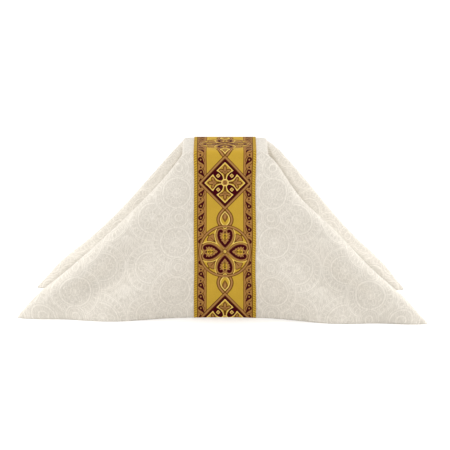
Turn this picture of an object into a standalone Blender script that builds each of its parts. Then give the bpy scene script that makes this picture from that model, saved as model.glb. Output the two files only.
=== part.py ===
"""A chalice veil: a square of brocade with a woven orphrey band, draped over a square top.

Metres, +Z up, and the orphrey's front end faces -Y. The four corners of the cloth are drawn out
to the left and right, and its whole hem stands on the table. The origin is on the table, at the
middle of the cloth's spread, so the tables below, which measure from under the middle of the top,
are moved there as the points are made.
"""

import math

import bmesh
import bpy
import numpy as np

# The cloth as it was cut, and the square that it falls from
VEIL_SIDE = 0.565
TOP_SIDE = 0.115
TOP_HEIGHT = 0.2245
CLOTH_THICKNESS = 0.0015
EDGE_RADIUS = 0.004
TOP_CORNER_RADIUS = 0.006
# The lowest strip of the hem stands straight up, so that its edge is flat on the table
HEM_FOOT = 0.002

# The orphrey, sewn down the middle from the front hem to the back hem
BAND_WIDTH = 0.084
BAND_THICKNESS = 0.0008
BAND_GAP = 0.0003
BAND_HEM_LIFT = 0.0006

# Worked out from the sizes above
HALF_TOP = TOP_SIDE / 2
PANEL_LENGTH = (VEIL_SIDE - TOP_SIDE) / 2
WALL_TOP = TOP_HEIGHT - EDGE_RADIUS
WALL_HEIGHT = WALL_TOP - HEM_FOOT

# Where the four corners of the cloth lie on the table: x, y
TIPS = {
    "front_left": (-0.279, -0.074),
    "front_right": (0.270, -0.110),
    "back_right": (0.250, 0.103),
    "back_left": (-0.263, 0.115),
}

# How far a crest has run out towards its tip: each pair is the share of the drop and the share of the run
CREST_RUN = {
    "front_left": (
        (0.00, 0.000), (0.10, 0.074), (0.28, 0.240), (0.51, 0.480),
        (0.74, 0.738), (0.85, 0.872), (0.92, 0.940), (1.00, 1.000),
    ),
    "front_right": (
        (0.00, 0.000), (0.04, 0.045), (0.12, 0.104), (0.25, 0.202),
        (0.44, 0.414), (0.70, 0.680), (0.85, 0.860), (1.00, 1.000),
    ),
    "back_right": (
        (0.00, 0.000), (0.04, 0.058), (0.12, 0.142), (0.25, 0.266),
        (0.49, 0.484), (0.65, 0.642), (0.81, 0.828), (1.00, 1.000),
    ),
    "back_left": (
        (0.00, 0.000), (0.08, 0.074), (0.25, 0.226), (0.49, 0.446),
        (0.66, 0.628), (0.82, 0.829), (0.91, 0.917), (1.00, 1.000),
    ),
}

# The broad panels at the hem: each pair is the share of the way from the middle to a tip, with the left
# side negative, and the distance out from the top's edge
FRONT_HEM = (
    (-1.00, 0.0165), (-0.61, 0.0375), (-0.20, 0.0160), (0.00, 0.0125),
    (0.20, 0.0180), (0.58, 0.0520), (1.00, 0.0525),
)
BACK_HEM = (
    (-1.00, 0.0575), (-0.60, 0.0760), (-0.20, 0.0200), (0.00, 0.0120),
    (0.20, 0.0220), (0.60, 0.0760), (1.00, 0.0455),
)

# A crest's roll: half of its width at the top, what it gains half way down, and the share it is rounded over
ROLL_TOP = 0.0030
ROLL_GAIN = 0.0055
ROLL_SOFTNESS = 0.6
# How far the cloth stands out beside a crest, as a share of the crest's roll: each pair is the distance from
# the crest and the share. The shoulder is how soon it is reached, in rolls
FOLD_RELIEF = ((0.000, 1.00), (0.018, 1.00), (0.045, 0.30), (0.080, 0.00))
FOLD_SHOULDER = 1.7
# How far in and how far back the tucked cloth starts from a crest, as shares of its roll
FRONT_FLAP = (1.4, 1.0)
BACK_FLAP = (3.2, 1.7)
# The low billow beside each crest, a trough and then a swell: each pair is the distance from the crest and
# the share of the billow's height
BILLOW = (
    (0.000, 0.00), (0.022, 0.10), (0.070, -0.75), (0.104, 0.00),
    (0.135, 0.50), (0.165, 0.30), (0.200, 0.00),
)
# The billow's height, the shares of the drop where it starts and is full, and what is left of it at the hem
BILLOW_HEIGHT = 0.017
BILLOW_FROM = 0.35
BILLOW_FULL = 0.78
BILLOW_AT_HEM = 0.45
# The hem curls in a little, from this share of the drop
HEM_CURL = 0.0012
HEM_CURL_FROM = 0.90
# How much a panel bows out before it hangs straighter
LEAN_BOW = 0.4
# The inner fold of each tucked side: how far it lies behind the broad panel, its rounding at the top,
# what that gains by the hem, and how far in the fold has moved there
VALLEY_BEHIND = 0.0055
VALLEY_ROUNDING_TOP = 0.002
VALLEY_ROUNDING_GAIN = 0.016
VALLEY_INWARD = 0.017
# The share of the broad panel's bow that the cloth behind it follows
BOW_SHARE = 0.75

# How finely the drape is divided. Levels crowd towards the top, and columns towards the folds
LEVELS = 12
LEVEL_CROWDING = 1.15
TOP_RINGS = (0.35, 0.75)
EDGE_STEPS = 3
FLAP_STEPS = 11
FOLD_CROWDING = 1.25
MIDDLE_STEPS = 4
PANEL_POINTS = 241
CORNER_HALF_STEPS = 4
OUTLINE_STEP = 0.001

CLOTH_COLOUR = (0.86, 0.84, 0.78, 1.0)
BAND_COLOUR = (0.62, 0.42, 0.08, 1.0)


def eased(table, x):
    """Smooth curve through the rows of a table of x and value."""
    xs, values = np.array(table, float).T
    slopes = np.gradient(values, xs)
    x = np.clip(x, xs[0], xs[-1])
    row = np.clip(np.searchsorted(xs, x, side="right") - 1, 0, len(xs) - 2)
    span = xs[row + 1] - xs[row]
    k = (x - xs[row]) / span
    return (
        (2 * k**3 - 3 * k**2 + 1) * values[row]
        + (k**3 - 2 * k**2 + k) * span * slopes[row]
        + (3 * k**2 - 2 * k**3) * values[row + 1]
        + (k**3 - k**2) * span * slopes[row + 1]
    )


def roll(drop):
    """Half of a crest's width at this share of the drop."""
    return ROLL_TOP + ROLL_GAIN * math.sin(math.pi * drop)


def crest(corner, drop):
    """Plan position of a crest's middle at this share of the drop."""
    x_tip, y_tip = TIPS[corner]
    run = float(eased(CREST_RUN[corner], drop))
    x = math.copysign(HALF_TOP, x_tip) * (1 - run) + x_tip * run
    y_edge = math.copysign(HALF_TOP - roll(0), y_tip)
    return np.array([x, y_edge + (y_tip - y_edge) * drop])


def smooth_step(x):
    """0 up to 0 and 1 from 1 on, with a soft step between."""
    x = np.clip(x, 0, 1)
    return x * x * (3 - 2 * x)


def billow_height(drop):
    """Height of the low billow at this share of the drop: it swells, and falls off again at the hem."""
    swelling = smooth_step((drop - BILLOW_FROM) / (BILLOW_FULL - BILLOW_FROM))
    fading = smooth_step((drop - BILLOW_FULL) / (1 - BILLOW_FULL))
    return BILLOW_HEIGHT * swelling * (1 - (1 - BILLOW_AT_HEM) * fading)


def lean(drop):
    """Share of its way out that a panel has gone: it bows out first and then hangs straighter."""
    return drop + LEAN_BOW * drop * (1 - drop)


def broad_panel(side, hem, drop):
    """Front or back panel at one level, from its left crest to its right one. side is -1 at the front."""
    names = ("front_left", "front_right") if side < 0 else ("back_left", "back_right")
    left, right = (crest(name, drop) for name in names)
    share = np.linspace(-1, 1, PANEL_POINTS)
    x = np.where(share < 0, -share * left[0], share * right[0])
    from_crest = np.where(share < 0, x - left[0], right[0] - x)
    shoulder = np.clip(from_crest / (FOLD_SHOULDER * roll(drop)), 0, 1)
    fold = roll(drop) * eased(FOLD_RELIEF, from_crest) * np.sqrt(1 - (1 - shoulder) ** 2)
    billow = billow_height(drop) * eased(BILLOW, from_crest)
    curl = HEM_CURL * smooth_step((drop - HEM_CURL_FROM) / (1 - HEM_CURL_FROM))
    out = eased(hem, share) * lean(drop) + fold + billow - curl
    return np.stack([x, side * (HALF_TOP + out)], axis=1)


def tucked_side(side, drop):
    """Left or right side at one level, from its front crest to its back one. side is -1 at the left."""
    names = ("front_left", "back_left") if side < 0 else ("front_right", "back_right")
    rounding = VALLEY_ROUNDING_TOP + VALLEY_ROUNDING_GAIN * drop
    halves = []
    for name, facing, hem in zip(names, (-1, 1), (FRONT_HEM, BACK_HEM)):
        tip = crest(name, drop)
        valley = np.array([side * (HALF_TOP - VALLEY_INWARD * drop), facing * (HALF_TOP - VALLEY_BEHIND)])
        inward, behind = FRONT_FLAP if facing < 0 else BACK_FLAP
        inward = min(inward * roll(drop), 0.5 * abs(tip[0] - valley[0]))
        start = tip - np.array([side * inward, facing * behind * roll(drop)])
        half_way = (start + valley) / 2
        chord = (float(eased(hem, side * 1.0)) + float(eased(hem, 0.0))) / 2
        bow = (float(eased(hem, side * 0.6)) - chord) * drop * BOW_SHARE
        half_way[1] += facing * bow
        flap = valley + (half_way - valley) * min(1.0, rounding / np.linalg.norm(half_way - valley))
        inner = valley - np.array([0, facing * rounding])
        halves.append([start, half_way, flap, inner])
    return np.array(halves[0] + halves[1][::-1])


def outline(drop):
    """The closed outline at one level, smoothed, with the place in it of each of the four crests."""
    front = broad_panel(-1, FRONT_HEM, drop)
    right = tucked_side(1, drop)
    back = broad_panel(1, BACK_HEM, drop)[::-1]
    left = tucked_side(-1, drop)[::-1]
    corners = []
    points = []
    ends = ("front_right", "back_right", "back_left", "front_left")
    for run, name in zip((front, right, back, left), ends):
        points.extend(run)
        corners.append(len(points))
        points.append(crest(name, drop))
    points = np.array(points)
    closed = np.vstack([points, points[:1]])
    lengths = np.concatenate([[0], np.cumsum(np.linalg.norm(np.diff(closed, axis=0), axis=1))])
    count = int(lengths[-1] / OUTLINE_STEP)
    even = np.linspace(0, lengths[-1], count, endpoint=False)
    dense = np.stack([np.interp(even, lengths, closed[:, k]) for k in (0, 1)], axis=1)
    spread = ROLL_SOFTNESS * roll(drop) / OUTLINE_STEP
    waves = np.fft.fftfreq(count)
    soft = np.exp(-2 * (math.pi * waves * spread) ** 2)
    dense = np.stack([np.fft.ifft(np.fft.fft(dense[:, k]) * soft).real for k in (0, 1)], axis=1)
    places = [int(round(lengths[c] / OUTLINE_STEP)) % count for c in corners]
    return dense, places


def run_of(dense, start, end):
    """The part of an outline from one place to another, with the distance along it of each point."""
    count = len(dense)
    picked = dense[np.arange(start, end + 1 if end > start else end + count + 1) % count]
    lengths = np.concatenate([[0], np.cumsum(np.linalg.norm(np.diff(picked, axis=0), axis=1))])
    return picked, lengths


def middle_place(picked, lengths, axis):
    """How far along a run it crosses the middle of the top, where its x or y passes zero."""
    values = picked[:, axis]
    k = np.flatnonzero(np.diff(np.sign(values)))[0]
    return lengths[k] + (lengths[k + 1] - lengths[k]) * values[k] / (values[k] - values[k + 1])


def panel_columns(picked, lengths, across_axis, scale):
    """Points across one panel: evenly over the band's width, then closer together at the folds."""
    step = np.linspace(0, 1, FLAP_STEPS + 1)[1:]
    share = 1 - (0.5 + 0.5 * np.cos(math.pi * step)) ** FOLD_CROWDING
    middle = middle_place(picked, lengths, across_axis)
    half_band = BAND_WIDTH / 2 * scale
    before = middle - half_band - (middle - half_band) * share
    after = middle + half_band + (lengths[-1] - middle - half_band) * share
    over_band = middle + np.linspace(-half_band, half_band, MIDDLE_STEPS + 1)
    places = np.concatenate([before[::-1], over_band, after])
    return np.stack([np.interp(places, lengths, picked[:, k]) for k in (0, 1)], axis=1)


def rounded_square(half):
    """A square outline with rounded corners, and the place in it of the middle of each corner."""
    radius = TOP_CORNER_RADIUS * half / HALF_TOP
    quarter = np.linspace(0, math.pi / 2, 2 * CORNER_HALF_STEPS + 1)
    points = []
    corners = []
    for k, (sx, sy) in enumerate(((1, -1), (1, 1), (-1, 1), (-1, -1))):
        centre = np.array([sx, sy]) * (half - radius)
        turn = quarter - math.pi / 2 + k * math.pi / 2
        points.extend(centre + radius * np.stack([np.cos(turn), np.sin(turn)], axis=1))
        corners.append(len(points) - CORNER_HALF_STEPS - 1)
    return np.array(points), corners


def level_ring(dense, places, scale=1.0):
    """One ring of the drape's points: front, right, back and left panels in turn, each crest once."""
    ends = [places[3], *places]
    runs = [panel_columns(*run_of(dense, ends[k], ends[k + 1]), k % 2, scale)[:-1] for k in range(4)]
    return np.concatenate(runs)


def drape_rings():
    """Rings of points from the middle of the top down to the hem, each with its height."""
    rings = []
    for share in TOP_RINGS:
        rings.append((level_ring(*rounded_square(share * HALF_TOP), share), TOP_HEIGHT))
    for step in range(EDGE_STEPS + 1):
        turn = step / EDGE_STEPS * math.pi / 2
        half = HALF_TOP - EDGE_RADIUS * (1 - math.sin(turn))
        height = WALL_TOP + EDGE_RADIUS * math.cos(turn)
        rings.append((level_ring(*rounded_square(half)), height))
    for level in range(1, LEVELS + 1):
        drop = (level / LEVELS) ** LEVEL_CROWDING
        rings.append((level_ring(*outline(drop)), HEM_FOOT + WALL_HEIGHT * (1 - drop)))
    hem_points = rings[-1][0]
    rings.append((hem_points, 0.0))
    middle = (hem_points.min(axis=0) + hem_points.max(axis=0)) / 2
    return [(points - middle, height) for points, height in rings], middle


def material(name, colour, roughness):
    made = bpy.data.materials.new(name)
    made.use_nodes = True
    shader = made.node_tree.nodes["Principled BSDF"]
    shader.inputs["Base Color"].default_value = colour
    shader.inputs["Roughness"].default_value = roughness
    shader.inputs["Metallic"].default_value = 0.0
    return made


def sheet_object(name, mesh, thickness, offset, finish, collection):
    """A surface made into cloth by a Solidify modifier."""
    made = bpy.data.objects.new(name, mesh)
    collection.objects.link(made)
    mesh.materials.append(finish)
    mesh.shade_smooth()
    solidify = made.modifiers.new("thickness", "SOLIDIFY")
    solidify.thickness = thickness
    solidify.offset = offset
    return made


def veil_cloth(rings, middle, finish, collection):
    """The square of brocade: a loft through the rings, closed over the top by a fan."""
    bm = bmesh.new()
    rows = [[bm.verts.new((x, y, z)) for x, y in points] for points, z in rings]
    centre = bm.verts.new((-middle[0], -middle[1], TOP_HEIGHT))
    around = len(rows[0])
    for k in range(around):
        bm.faces.new((centre, rows[0][k], rows[0][(k + 1) % around]))
    for upper, lower in zip(rows, rows[1:]):
        for k in range(around):
            after = (k + 1) % around
            bm.faces.new((upper[k], lower[k], lower[after]))
            bm.faces.new((upper[k], lower[after], upper[after]))
    mesh = bpy.data.meshes.new("veil_cloth")
    bm.to_mesh(mesh)
    bm.free()
    return sheet_object("veil_cloth", mesh, CLOTH_THICKNESS, -1, finish, collection)


def band_rows(rings):
    """Rows of points across the band, on the cloth: up the front, over the top and down the back."""
    per_run = 2 * FLAP_STEPS + MIDDLE_STEPS
    first = FLAP_STEPS
    last = first + MIDDLE_STEPS + 1
    outer = rings[len(TOP_RINGS):]
    rows = []
    for points, z in outer[::-1]:
        rows.append([(x, y, z) for x, y in points[first:last]])
    for points, z in outer:
        start = 2 * per_run
        back = points[start + first:start + last][::-1]
        rows.append([(x, y, z) for x, y in back])
    return rows


def orphrey_band(rings, finish, collection):
    """The woven band, lying on the cloth with a hair's gap under it."""
    rows = np.array(band_rows(rings))
    along = np.gradient(rows, axis=0)
    across = np.gradient(rows, axis=1)
    normals = np.cross(across, along)
    normals /= np.linalg.norm(normals, axis=2, keepdims=True)
    rows = rows + normals * BAND_GAP
    rows[[0, -1], :, 2] += BAND_HEM_LIFT
    bm = bmesh.new()
    grid = [[bm.verts.new(point) for point in row] for row in rows]
    for lower, upper in zip(grid, grid[1:]):
        for k in range(len(lower) - 1):
            bm.faces.new((lower[k], lower[k + 1], upper[k]))
            bm.faces.new((lower[k + 1], upper[k + 1], upper[k]))
    mesh = bpy.data.meshes.new("orphrey_band")
    bm.to_mesh(mesh)
    bm.free()
    return sheet_object("orphrey_band", mesh, BAND_THICKNESS, 1, finish, collection)


def build():
    for old in list(bpy.data.objects):
        bpy.data.objects.remove(old, do_unlink=True)
    collection = bpy.data.collections.new("chalice_veil")
    bpy.context.scene.collection.children.link(collection)
    brocade = material("brocade", CLOTH_COLOUR, 0.6)
    gold = material("gold_weave", BAND_COLOUR, 0.5)
    rings, middle = drape_rings()
    veil_cloth(rings, middle, brocade, collection)
    orphrey_band(rings, gold, collection)


build()
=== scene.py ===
"""A chalice veil of white brocade with a gold orphrey, draped over a square top, on a pale floor.

Metres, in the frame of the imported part: +Z up, the orphrey's front end towards -Y. The drape is worked out
level by level as in the part's solids, but finely. Each point of the cloth also keeps its place on the flat
square, so that the damask, the weave and the orphrey's figures lie on the cloth as they were woven.
"""

import math

import bpy
import numpy as np
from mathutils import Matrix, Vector


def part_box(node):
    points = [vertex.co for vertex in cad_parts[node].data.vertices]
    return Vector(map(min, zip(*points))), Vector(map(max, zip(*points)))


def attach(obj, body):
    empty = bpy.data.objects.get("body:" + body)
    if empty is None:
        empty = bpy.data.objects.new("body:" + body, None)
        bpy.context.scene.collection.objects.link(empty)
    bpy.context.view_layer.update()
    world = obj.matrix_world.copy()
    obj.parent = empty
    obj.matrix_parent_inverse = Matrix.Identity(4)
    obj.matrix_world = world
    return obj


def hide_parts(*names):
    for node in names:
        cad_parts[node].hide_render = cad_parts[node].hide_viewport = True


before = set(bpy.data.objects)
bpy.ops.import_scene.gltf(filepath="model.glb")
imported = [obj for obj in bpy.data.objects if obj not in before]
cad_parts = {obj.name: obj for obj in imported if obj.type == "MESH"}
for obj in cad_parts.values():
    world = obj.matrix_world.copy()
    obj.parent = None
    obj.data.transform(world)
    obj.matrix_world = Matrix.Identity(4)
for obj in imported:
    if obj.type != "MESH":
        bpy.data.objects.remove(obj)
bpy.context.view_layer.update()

MM = 0.001
TINY = 1e-12

# The cloth as it was cut, and the square top that it falls from. Its last HEM_FOOT above the floor is upright
VEIL_SIDE = 0.565
TOP_SIDE = 0.115
TOP_HEIGHT = float(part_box("veil_cloth")[1][2])
EDGE_RADIUS = 0.004
TOP_CORNER_RADIUS = 0.006
HEM_FOOT = 0.002
CLOTH_THICKNESS = 0.0012
# The hem is turned in, which makes the cloth thicker there. The step up to it is HEM_STEP wide
HEM_WIDTH = 0.011
HEM_RISE = 0.0005
HEM_STEP = 0.0022

# The orphrey and its gap to the cloth
BAND_WIDTH = 0.084
BAND_THICKNESS = 0.0009
BAND_GAP = 0.0002
# The orphrey's turned edge: its width, and from its foot up the distance from the edge, as a share of that
# width, and the height above the cloth
BAND_EDGE = 0.0006
BAND_SIDE = (
    (0.0, 0.0001),
    (0.0, BAND_GAP + 0.4 * BAND_THICKNESS),
    (0.3, BAND_GAP + 0.85 * BAND_THICKNESS),
)

HALF_TOP = TOP_SIDE / 2
HALF_VEIL = VEIL_SIDE / 2
HALF_BAND = BAND_WIDTH / 2
WALL_TOP = TOP_HEIGHT - EDGE_RADIUS
WALL_HEIGHT = WALL_TOP - HEM_FOOT

# Where the four corners of the cloth lie on the table, measured from under the middle of the top: x, y
TIPS = {
    "front_left": (-0.279, -0.074),
    "front_right": (0.270, -0.110),
    "back_right": (0.250, 0.103),
    "back_left": (-0.263, 0.115),
}

# How far a crest has run out towards its tip: each pair is the share of the drop and the share of the run
CREST_RUN = {
    "front_left": (
        (0.00, 0.000), (0.10, 0.074), (0.28, 0.240), (0.51, 0.480),
        (0.74, 0.738), (0.85, 0.872), (0.92, 0.940), (1.00, 1.000),
    ),
    "front_right": (
        (0.00, 0.000), (0.04, 0.045), (0.12, 0.104), (0.25, 0.202),
        (0.44, 0.414), (0.70, 0.680), (0.85, 0.860), (1.00, 1.000),
    ),
    "back_right": (
        (0.00, 0.000), (0.04, 0.058), (0.12, 0.142), (0.25, 0.266),
        (0.49, 0.484), (0.65, 0.642), (0.81, 0.828), (1.00, 1.000),
    ),
    "back_left": (
        (0.00, 0.000), (0.08, 0.074), (0.25, 0.226), (0.49, 0.446),
        (0.66, 0.628), (0.82, 0.829), (0.91, 0.917), (1.00, 1.000),
    ),
}

# The broad panels at the hem: each pair is the share of the way from the middle to a tip, with the left
# side negative, and the distance out from the top's edge
FRONT_HEM = (
    (-1.00, 0.0165), (-0.61, 0.0375), (-0.20, 0.0160), (0.00, 0.0125),
    (0.20, 0.0180), (0.58, 0.0520), (1.00, 0.0525),
)
BACK_HEM = (
    (-1.00, 0.0575), (-0.60, 0.0760), (-0.20, 0.0200), (0.00, 0.0120),
    (0.20, 0.0220), (0.60, 0.0760), (1.00, 0.0455),
)

# A crest's roll: half of its width at the top, what it gains half way down, and the share it is rounded over
ROLL_TOP = 0.0030
ROLL_GAIN = 0.0055
ROLL_SOFTNESS = 0.6
# How far the cloth stands out beside a crest, as a share of the crest's roll: each pair is the distance from
# the crest and the share. The shoulder is how soon it is reached, in rolls. The fold grows to its full height
# over the first FOLD_START of the drop
FOLD_RELIEF = ((0.000, 1.00), (0.018, 1.00), (0.045, 0.30), (0.080, 0.00))
FOLD_SHOULDER = 1.7
FOLD_START = 0.08
# How far in and how far back the tucked cloth starts from a crest, as shares of its roll, and the most of the
# way to the inner fold that it may start in
FRONT_FLAP = (1.4, 1.0)
BACK_FLAP = (3.2, 1.7)
FLAP_MOST = 0.85
# The low billow beside each crest, a trough and then a swell: each pair is the distance from the crest and
# the share of the billow's height
BILLOW = (
    (0.000, 0.00), (0.022, 0.10), (0.070, -0.75), (0.104, 0.00),
    (0.135, 0.50), (0.165, 0.30), (0.200, 0.00),
)
# The billow's height, the shares of the drop where it starts and is full, and what is left of it at the hem
BILLOW_HEIGHT = 0.017
BILLOW_FROM = 0.35
BILLOW_FULL = 0.78
BILLOW_AT_HEM = 0.45
# The hem curls in a little, from this share of the drop
HEM_CURL = 0.0012
HEM_CURL_FROM = 0.90
# How much a panel bows out before it hangs straighter
LEAN_BOW = 0.4
# The inner fold of each tucked side: how far it lies behind the broad panel, its rounding at the top,
# what that gains by the hem, and how far in the fold has moved there
VALLEY_BEHIND = 0.0055
VALLEY_ROUNDING_TOP = 0.002
VALLEY_ROUNDING_GAIN = 0.016
VALLEY_INWARD = 0.017
# A tucked flap bows out as the panel in front of it does at BOW_AT, by a share of it
BOW_AT = 0.6
BOW_SHARE = 0.75

# How many levels the drape has below the top's edge, and how much closer together they are at the top
LEVELS = 76
LEVEL_CROWDING = 1.1
# The rings of the flat top and of its rounded edge, and how many below it are smoothed with them, how often
TOP_RINGS = 14
EDGE_STEPS = 5
EDGE_SOFTENED = 6
EDGE_PASSES = 4
# The steps from the orphrey's edge to a crest, closer together at the crest, and the steps under the orphrey
FLAP_STEPS = 50
FOLD_CROWDING = 1.25
MIDDLE_STEPS = 24
# On the top, a ring this much larger than the orphrey's half width has columns along the orphrey's edges.
# A smaller one has them at a share of its own size
BAND_CLEAR = 1.05
INNER_SHARE = 0.75
# The points of a broad panel and of half a corner, and the even step along an outline while it is smoothed
PANEL_POINTS = 321
CORNER_HALF_STEPS = 16
OUTLINE_STEP = 0.0005
# The rows of the orphrey's mesh, the ones read from the flat top, and its columns between the turned edges
BAND_ROWS = 753
TOP_ROWS = 40
BAND_COLUMNS = 112

# Where the cloth's outer face and its inner side lie on the map that colours are baked to, each with its
# corner and its size, and the size of the orphrey on its own map
OUTER_MAP = ((0.01, 0.01), 0.68)
INNER_MAP = ((0.72, 0.01), 0.26)
BAND_MAP_SIZE = 0.98

# The camera, at the photograph's angle, and where the top's front edge is seen in the frame
DISTANCE = 4.45
ELEVATION = math.radians(11.4)
TOP_WIDTH_PX = 86
EDGE_ROW_PX = 151.5
FRAME_PX = 450
SENSOR_WIDTH = 36
FAR_CLIP = 60

# The floor, the even light from all around, a weak light from overhead and a panel at each side
FLOOR_HALF = 15
FLOOR_COLOUR = (0.97, 0.97, 0.97)
SURROUNDING_LIGHT = 0.86
OVERHEAD_LIGHT = 1.08
OVERHEAD_FROM = (0, -0.12, 1.0)
OVERHEAD_SPREAD = math.radians(50)
PANEL_POWER = 1.95
PANEL_SIZE = 0.45
PANEL_PLACE = (0.75, -0.05, 0.30)
PANEL_TARGET = (0.16, 0.06, 0.12)


def smooth_step(x):
    """0 below 0, 1 above 1, and a soft step between."""
    x = np.clip(x, 0, 1)
    return x * x * (3 - 2 * x)


def eased(xs, values, x):
    """Smooth curve through the values at xs, read at x."""
    slopes = np.gradient(values, xs, axis=0)
    x = np.clip(x, xs[0], xs[-1])
    row = np.clip(np.searchsorted(xs, x, side="right") - 1, 0, len(xs) - 2)
    span = xs[row + 1] - xs[row]
    k = (x - xs[row]) / span
    if values.ndim > 1:
        shape = (-1,) + (1,) * (values.ndim - 1)
        span, k = span.reshape(shape), k.reshape(shape)
    return (
        (2 * k**3 - 3 * k**2 + 1) * values[row]
        + (k**3 - 2 * k**2 + k) * span * slopes[row]
        + (3 * k**2 - 2 * k**3) * values[row + 1]
        + (k**3 - k**2) * span * slopes[row + 1]
    )


def from_table(table, x):
    """A table of x and value, read at x."""
    xs, values = np.array(table, float).T
    return eased(xs, values, x)


def roll(drop):
    """Half of a crest's width at this share of the drop."""
    return ROLL_TOP + ROLL_GAIN * math.sin(math.pi * drop)


def crest(corner, drop):
    """Plan position of a crest's middle at this share of the drop."""
    x_tip, y_tip = TIPS[corner]
    run = float(from_table(CREST_RUN[corner], drop))
    x = math.copysign(HALF_TOP, x_tip) * (1 - run) + x_tip * run
    y_edge = math.copysign(HALF_TOP - roll(0), y_tip)
    return np.array([x, y_edge + (y_tip - y_edge) * drop])


def billow_height(drop):
    """Height of the low billow at this share of the drop: it swells, and falls off again at the hem."""
    swelling = smooth_step((drop - BILLOW_FROM) / (BILLOW_FULL - BILLOW_FROM))
    fading = smooth_step((drop - BILLOW_FULL) / (1 - BILLOW_FULL))
    return BILLOW_HEIGHT * swelling * (1 - (1 - BILLOW_AT_HEM) * fading)


def lean(drop):
    """Share of its way out that a panel has gone: it bows out first and then hangs straighter."""
    return drop + LEAN_BOW * drop * (1 - drop)


def broad_panel(side, hem, drop):
    """Front or back panel at one level, from its left crest to its right one. side is -1 at the front."""
    names = ("front_left", "front_right") if side < 0 else ("back_left", "back_right")
    left, right = (crest(name, drop) for name in names)
    share = np.linspace(-1, 1, PANEL_POINTS)
    x = np.where(share < 0, -share * left[0], share * right[0])
    from_crest = np.where(share < 0, x - left[0], right[0] - x)
    shoulder = np.clip(from_crest / (FOLD_SHOULDER * roll(drop)), 0, 1)
    fold = roll(drop) * from_table(FOLD_RELIEF, from_crest) * np.sqrt(1 - (1 - shoulder) ** 2)
    fold *= smooth_step(drop / FOLD_START)
    billow = billow_height(drop) * from_table(BILLOW, from_crest)
    curl = HEM_CURL * smooth_step((drop - HEM_CURL_FROM) / (1 - HEM_CURL_FROM))
    out = from_table(hem, share) * lean(drop) + fold + billow - curl
    return np.stack([x, side * (HALF_TOP + out)], axis=1)


def flap_bow(side, hem, drop):
    """How far a tucked flap bows out half way along it, as the broad panel that it backs does."""
    at_tip, at_bow, at_middle = (float(from_table(hem, share)) for share in (side, side * BOW_AT, 0.0))
    return (at_bow - (at_tip + at_middle) / 2) * drop * BOW_SHARE


def tucked_side(side, drop):
    """Left or right side at one level, from its front crest to its back one. side is -1 at the left."""
    names = ("front_left", "back_left") if side < 0 else ("front_right", "back_right")
    rounding = VALLEY_ROUNDING_TOP + VALLEY_ROUNDING_GAIN * drop
    halves = []
    for name, facing, hem in zip(names, (-1, 1), (FRONT_HEM, BACK_HEM)):
        tip = crest(name, drop)
        valley = np.array([side * (HALF_TOP - VALLEY_INWARD * drop), facing * (HALF_TOP - VALLEY_BEHIND)])
        inward, behind = FRONT_FLAP if facing < 0 else BACK_FLAP
        inward = min(inward * roll(drop), FLAP_MOST * abs(tip[0] - valley[0]))
        start = tip - np.array([side * inward, facing * behind * roll(drop)])
        half_way = (start + valley) / 2
        half_way[1] += facing * flap_bow(side, hem, drop)
        flap = valley + (half_way - valley) * min(1.0, rounding / np.linalg.norm(half_way - valley))
        inner = valley - np.array([0, facing * rounding])
        halves.append([start, half_way, flap, inner])
    return np.array(halves[0] + halves[1][::-1])


def outline(drop):
    """The closed outline at one level, smoothed, with the place in it of each of the four crests."""
    front = broad_panel(-1, FRONT_HEM, drop)
    right = tucked_side(1, drop)
    back = broad_panel(1, BACK_HEM, drop)[::-1]
    left = tucked_side(-1, drop)[::-1]
    corners = []
    points = []
    ends = ("front_right", "back_right", "back_left", "front_left")
    for run, name in zip((front, right, back, left), ends):
        points.extend(run)
        corners.append(len(points))
        points.append(crest(name, drop))
    points = np.array(points)
    closed = np.vstack([points, points[:1]])
    lengths = np.concatenate([[0], np.cumsum(np.linalg.norm(np.diff(closed, axis=0), axis=1))])
    count = int(lengths[-1] / OUTLINE_STEP)
    even = np.linspace(0, lengths[-1], count, endpoint=False)
    dense = np.stack([np.interp(even, lengths, closed[:, k]) for k in (0, 1)], axis=1)
    spread = ROLL_SOFTNESS * roll(drop) / OUTLINE_STEP
    waves = np.fft.fftfreq(count)
    soft = np.exp(-2 * (math.pi * waves * spread) ** 2)
    dense = np.stack([np.fft.ifft(np.fft.fft(dense[:, k]) * soft).real for k in (0, 1)], axis=1)
    places = [int(round(lengths[c] / OUTLINE_STEP)) % count for c in corners]
    return dense, places


def rounded_square(half):
    """A square outline with rounded corners, and the place in it of the middle of each corner."""
    radius = TOP_CORNER_RADIUS * half / HALF_TOP
    quarter = np.linspace(0, math.pi / 2, 2 * CORNER_HALF_STEPS + 1)
    points = []
    corners = []
    for k, (sx, sy) in enumerate(((1, -1), (1, 1), (-1, 1), (-1, -1))):
        centre = np.array([sx, sy]) * (half - radius)
        turn = quarter - math.pi / 2 + k * math.pi / 2
        points.extend(centre + radius * np.stack([np.cos(turn), np.sin(turn)], axis=1))
        corners.append(len(points) - CORNER_HALF_STEPS - 1)
    return np.array(points), corners


def run_of(dense, start, end):
    """The part of an outline from one place to another, with the distance along it of each point."""
    count = len(dense)
    picked = dense[np.arange(start, end + 1 if end > start else end + count + 1) % count]
    lengths = np.concatenate([[0], np.cumsum(np.linalg.norm(np.diff(picked, axis=0), axis=1))])
    return picked, lengths


def middle_place(picked, lengths, axis):
    """How far along a run it crosses the middle of the top, where its x or y passes zero."""
    values = picked[:, axis]
    k = np.flatnonzero(np.diff(np.sign(values)))[0]
    return lengths[k] + (lengths[k + 1] - lengths[k]) * values[k] / (values[k] - values[k + 1])


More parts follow.
